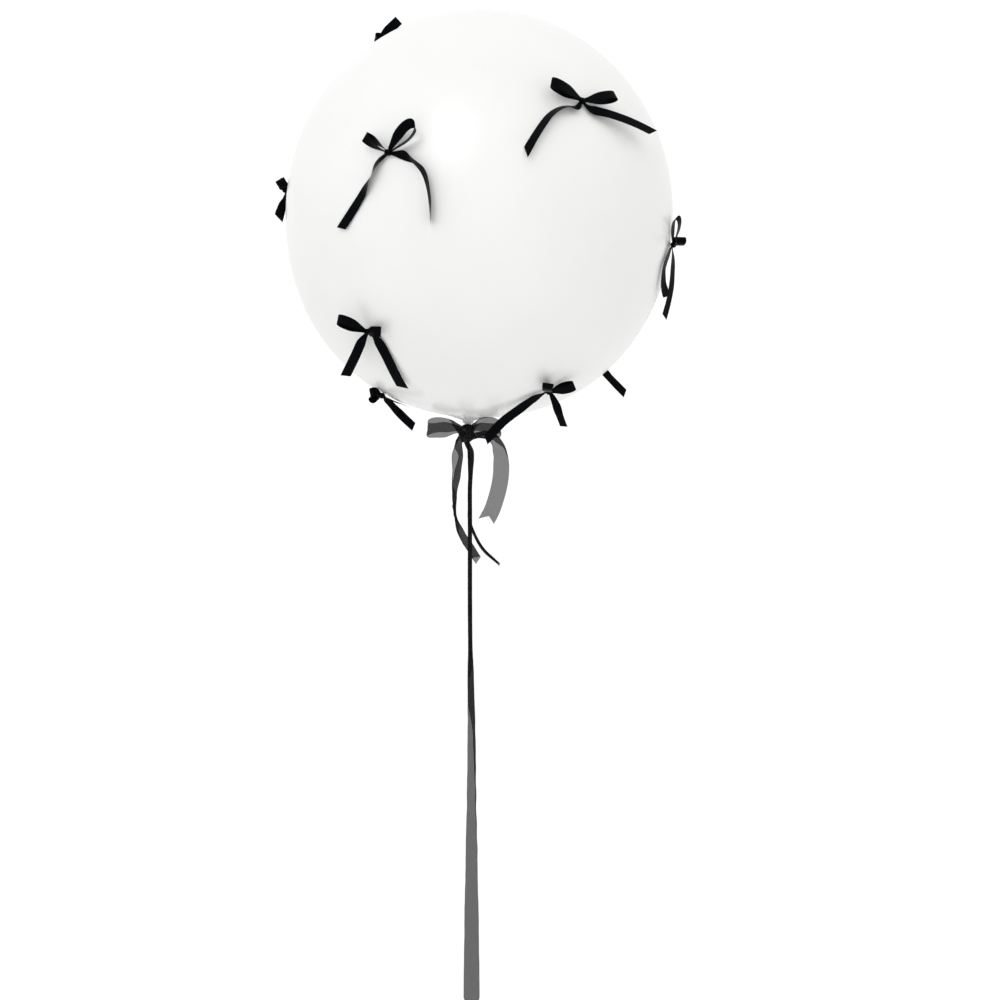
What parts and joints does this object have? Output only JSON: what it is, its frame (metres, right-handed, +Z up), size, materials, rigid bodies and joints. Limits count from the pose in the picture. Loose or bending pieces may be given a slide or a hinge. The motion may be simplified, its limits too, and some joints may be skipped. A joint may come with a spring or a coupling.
{
  "type": "latex balloon",
  "caption": "Round white latex balloon with small satin bows stuck on it, a sheer ribbon bow tied at the neck and a long sheer ribbon tether ending in a hand loop.",
  "frame": {"origin": "where the sheer ribbon ties the balloon's neck, on the neck's axis", "axes": "+Z up through the balloon's crown, -Y towards the front as pictured, +X to the right as seen from the front"},
  "size_m": [0.6332, 0.6073, 1.6287],
  "materials": {
    "latex": "satin",
    "satin": "satin",
    "organza": "satin",
    "glue": "gloss"
  },
  "bodies": {
    "balloon": {"balloon_envelope": "latex", "neck_knot": "latex", "rolled_lip": "latex", "neck_hitch": "organza", "neck_bow_knot": "organza", "neck_bow_left_loop": "organza", "neck_bow_right_loop": "organza", "bow_1_loops": "satin", "bow_1_glue_dot": "glue", "bow_2_loops": "satin", "bow_2_glue_dot": "glue", "bow_3_loops": "satin", "bow_3_glue_dot": "glue", "bow_4_loops": "satin", "bow_4_glue_dot": "glue", "bow_5_loops": "satin", "bow_5_glue_dot": "glue", "bow_6_loops": "satin", "bow_6_glue_dot": "glue", "bow_7_loops": "satin", "bow_7_glue_dot": "glue", "bow_8_loops": "satin", "bow_8_glue_dot": "glue", "bow_9_loops": "satin", "bow_9_glue_dot": "glue", "bow_10_loops": "satin", "bow_10_glue_dot": "glue", "bow_11_loops": "satin", "bow_11_glue_dot": "glue", "bow_12_loops": "satin", "bow_12_glue_dot": "glue"},
    "bow_1_left_tail": {"bow_1_left_tail": "satin"},
    "bow_1_right_tail": {"bow_1_right_tail": "satin"},
    "bow_2_left_tail": {"bow_2_left_tail": "satin"},
    "bow_2_right_tail": {"bow_2_right_tail": "satin"},
    "bow_3_left_tail": {"bow_3_left_tail": "satin"},
    "bow_3_right_tail": {"bow_3_right_tail": "satin"},
    "bow_4_left_tail": {"bow_4_left_tail": "satin"},
    "bow_4_right_tail": {"bow_4_right_tail": "satin"},
    "bow_5_left_tail": {"bow_5_left_tail": "satin"},
    "bow_5_right_tail": {"bow_5_right_tail": "satin"},
    "bow_6_left_tail": {"bow_6_left_tail": "satin"},
    "bow_6_right_tail": {"bow_6_right_tail": "satin"},
    "bow_7_left_tail": {"bow_7_left_tail": "satin"},
    "bow_7_right_tail": {"bow_7_right_tail": "satin"},
    "bow_8_left_tail": {"bow_8_left_tail": "satin"},
    "bow_8_right_tail": {"bow_8_right_tail": "satin"},
    "bow_9_left_tail": {"bow_9_left_tail": "satin"},
    "bow_9_right_tail": {"bow_9_right_tail": "satin"},
    "bow_10_left_tail": {"bow_10_left_tail": "satin"},
    "bow_10_right_tail": {"bow_10_right_tail": "satin"},
    "bow_11_left_tail": {"bow_11_left_tail": "satin"},
    "bow_11_right_tail": {"bow_11_right_tail": "satin"},
    "bow_12_left_tail": {"bow_12_left_tail": "satin"},
    "bow_12_right_tail": {"bow_12_right_tail": "satin"},
    "hanging_ends": {"tether_short_end": "organza"},
    "tether": {"tether_ribbon": "organza", "hand_loop": "organza"},
    "neck_bow_left_tail": {"neck_bow_left_tail": "organza"},
    "neck_bow_right_tail": {"neck_bow_right_tail": "organza"}
  },
  "joints": [
    {"name": "bow_1_left_tail_lift", "type": "hinge", "parent": "balloon", "child": "bow_1_left_tail", "pos_m": [-0.14122, 0.00761, 0.59748], "axis": [-0.246, 0.9542, -0.1702], "range_deg": [0, 45], "stiffness_Nm_per_rad": 0.002},
    {"name": "bow_1_right_tail_lift", "type": "hinge", "parent": "balloon", "child": "bow_1_right_tail", "pos_m": [-0.14122, 0.00761, 0.59748], "axis": [0.5524, 0.7774, 0.3008], "range_deg": [0, 45], "stiffness_Nm_per_rad": 0.002},
    {"name": "bow_2_left_tail_lift", "type": "hinge", "parent": "balloon", "child": "bow_2_left_tail", "pos_m": [-0.1113, -0.2716, 0.38238], "axis": [-0.4983, 0.4013, 0.7686], "range_deg": [0, 45], "stiffness_Nm_per_rad": 0.002},
    {"name": "bow_2_right_tail_lift", "type": "hinge", "parent": "balloon", "child": "bow_2_right_tail", "pos_m": [-0.1113, -0.2716, 0.38238], "axis": [-0.2675, -0.0772, -0.9605], "range_deg": [0, 30], "stiffness_Nm_per_rad": 0.002},
    {"name": "bow_3_left_tail_lift", "type": "hinge", "parent": "balloon", "child": "bow_3_left_tail", "pos_m": [0.17016, -0.23046, 0.46377], "axis": [-0.7601, -0.1149, 0.6395], "range_deg": [0, 45], "stiffness_Nm_per_rad": 0.002},
    {"name": "bow_3_right_tail_lift", "type": "hinge", "parent": "balloon", "child": "bow_3_right_tail", "pos_m": [0.17016, -0.23046, 0.46377], "axis": [-0.4549, -0.6608, -0.597], "range_deg": [0, 35], "stiffness_Nm_per_rad": 0.002},
    {"name": "bow_4_left_tail_lift", "type": "hinge", "parent": "balloon", "child": "bow_4_left_tail", "pos_m": [-0.285, 0.01065, 0.36549], "axis": [-0.0093, 0.949, -0.3152], "range_deg": [0, 45], "stiffness_Nm_per_rad": 0.002},
    {"name": "bow_4_right_tail_lift", "type": "hinge", "parent": "balloon", "child": "bow_4_right_tail", "pos_m": [-0.285, 0.01065, 0.36549], "axis": [0.1193, 0.7047, 0.6994], "range_deg": [0, 45], "stiffness_Nm_per_rad": 0.002},
    {"name": "bow_5_left_tail_lift", "type": "hinge", "parent": "balloon", "child": "bow_5_left_tail", "pos_m": [0.31572, -0.0529, 0.2731], "axis": [0.0103, -0.6663, 0.7456], "range_deg": [0, 30], "stiffness_Nm_per_rad": 0.002},
    {"name": "bow_5_right_tail_lift", "type": "hinge", "parent": "balloon", "child": "bow_5_right_tail", "pos_m": [0.31572, -0.0529, 0.2731], "axis": [-0.1829, -0.982, -0.0482], "range_deg": [0, 30], "stiffness_Nm_per_rad": 0.002},
    {"name": "bow_6_left_tail_lift", "type": "hinge", "parent": "balloon", "child": "bow_6_left_tail", "pos_m": [-0.14553, -0.18839, 0.12991], "axis": [-0.8183, 0.1336, 0.559], "range_deg": [0, 45], "stiffness_Nm_per_rad": 0.002},
    {"name": "bow_6_right_tail_lift", "type": "hinge", "parent": "balloon", "child": "bow_6_right_tail", "pos_m": [-0.14553, -0.18839, 0.12991], "axis": [-0.3312, 0.8017, -0.4976], "range_deg": [0, 25], "stiffness_Nm_per_rad": 0.002},
    {"name": "bow_7_left_tail_lift", "type": "hinge", "parent": "balloon", "child": "bow_7_left_tail", "pos_m": [-0.13188, -0.03342, 0.04277], "axis": [-0.6394, 0.7256, 0.2544], "range_deg": [0, 45], "stiffness_Nm_per_rad": 0.002},
    {"name": "bow_7_right_tail_lift", "type": "hinge", "parent": "balloon", "child": "bow_7_right_tail", "pos_m": [-0.13188, -0.03342, 0.04277], "axis": [0.6149, 0.6751, -0.4075], "range_deg": [0, 45], "stiffness_Nm_per_rad": 0.002},
    {"name": "bow_8_left_tail_lift", "type": "hinge", "parent": "balloon", "child": "bow_8_left_tail", "pos_m": [0.12415, -0.11525, 0.04492], "axis": [-0.2035, -0.93, 0.3062], "range_deg": [0, 45], "stiffness_Nm_per_rad": 0.002},
    {"name": "bow_8_right_tail_lift", "type": "hinge", "parent": "balloon", "child": "bow_8_right_tail", "pos_m": [0.12415, -0.11525, 0.04492], "axis": [-0.8701, 0.2417, -0.4296], "range_deg": [0, 45], "stiffness_Nm_per_rad": 0.002},
    {"name": "bow_9_left_tail_lift", "type": "hinge", "parent": "balloon", "child": "bow_9_left_tail", "pos_m": [0.1934, 0.16492, 0.11994], "axis": [0.7553, 0.0101, 0.6553], "range_deg": [0, 45], "stiffness_Nm_per_rad": 0.002},
    {"name": "bow_9_right_tail_lift", "type": "hinge", "parent": "balloon", "child": "bow_9_right_tail", "pos_m": [0.1934, 0.16492, 0.11994], "axis": [0.3015, -0.8518, -0.4284], "range_deg": [0, 45], "stiffness_Nm_per_rad": 0.002},
    {"name": "bow_10_left_tail_lift", "type": "hinge", "parent": "balloon", "child": "bow_10_left_tail", "pos_m": [0.03876, 0.19385, 0.57199], "axis": [0.7105, -0.5815, 0.3963], "range_deg": [0, 45], "stiffness_Nm_per_rad": 0.002},
    {"name": "bow_10_right_tail_lift", "type": "hinge", "parent": "balloon", "child": "bow_10_right_tail", "pos_m": [0.03876, 0.19385, 0.57199], "axis": [0.7659, 0.4737, -0.4348], "range_deg": [0, 45], "stiffness_Nm_per_rad": 0.002},
    {"name": "bow_11_left_tail_lift", "type": "hinge", "parent": "balloon", "child": "bow_11_left_tail", "pos_m": [0.21109, 0.2357, 0.3564], "axis": [0.4186, -0.4495, 0.7891], "range_deg": [0, 45], "stiffness_Nm_per_rad": 0.002},
    {"name": "bow_11_right_tail_lift", "type": "hinge", "parent": "balloon", "child": "bow_11_right_tail", "pos_m": [0.21109, 0.2357, 0.3564], "axis": [0.4268, -0.231, -0.8743], "range_deg": [0, 25], "stiffness_Nm_per_rad": 0.002},
    {"name": "bow_12_left_tail_lift", "type": "hinge", "parent": "balloon", "child": "bow_12_left_tail", "pos_m": [-0.12333, 0.25425, 0.21588], "axis": [0.4931, 0.5591, 0.6665], "range_deg": [0, 45], "stiffness_Nm_per_rad": 0.002},
    {"name": "bow_12_right_tail_lift", "type": "hinge", "parent": "balloon", "child": "bow_12_right_tail", "pos_m": [-0.12333, 0.25425, 0.21588], "axis": [0.6933, 0.0798, -0.7162], "range_deg": [0, 45], "stiffness_Nm_per_rad": 0.002},
    {"name": "tether_swing_fore_aft", "type": "hinge", "parent": "balloon", "child": "hanging_ends", "pos_m": [-0.003, -0.018, -0.013], "axis": [1, 0, 0], "range_deg": [-30, 20]},
    {"name": "tether_swing_side", "type": "hinge", "parent": "hanging_ends", "child": "tether", "pos_m": [-0.003, -0.018, -0.013], "axis": [0, -1, 0], "range_deg": [-35, 35]},
    {"name": "neck_bow_left_tail_swing", "type": "hinge", "parent": "hanging_ends", "child": "neck_bow_left_tail", "pos_m": [-0.003, -0.018, -0.013], "axis": [0, 1, 0], "range_deg": [0, 25], "stiffness_Nm_per_rad": 0.003},
    {"name": "neck_bow_right_tail_swing", "type": "hinge", "parent": "hanging_ends", "child": "neck_bow_right_tail", "pos_m": [-0.003, -0.018, -0.013], "axis": [0, -1, 0], "range_deg": [0, 12], "stiffness_Nm_per_rad": 0.003}
  ]
}
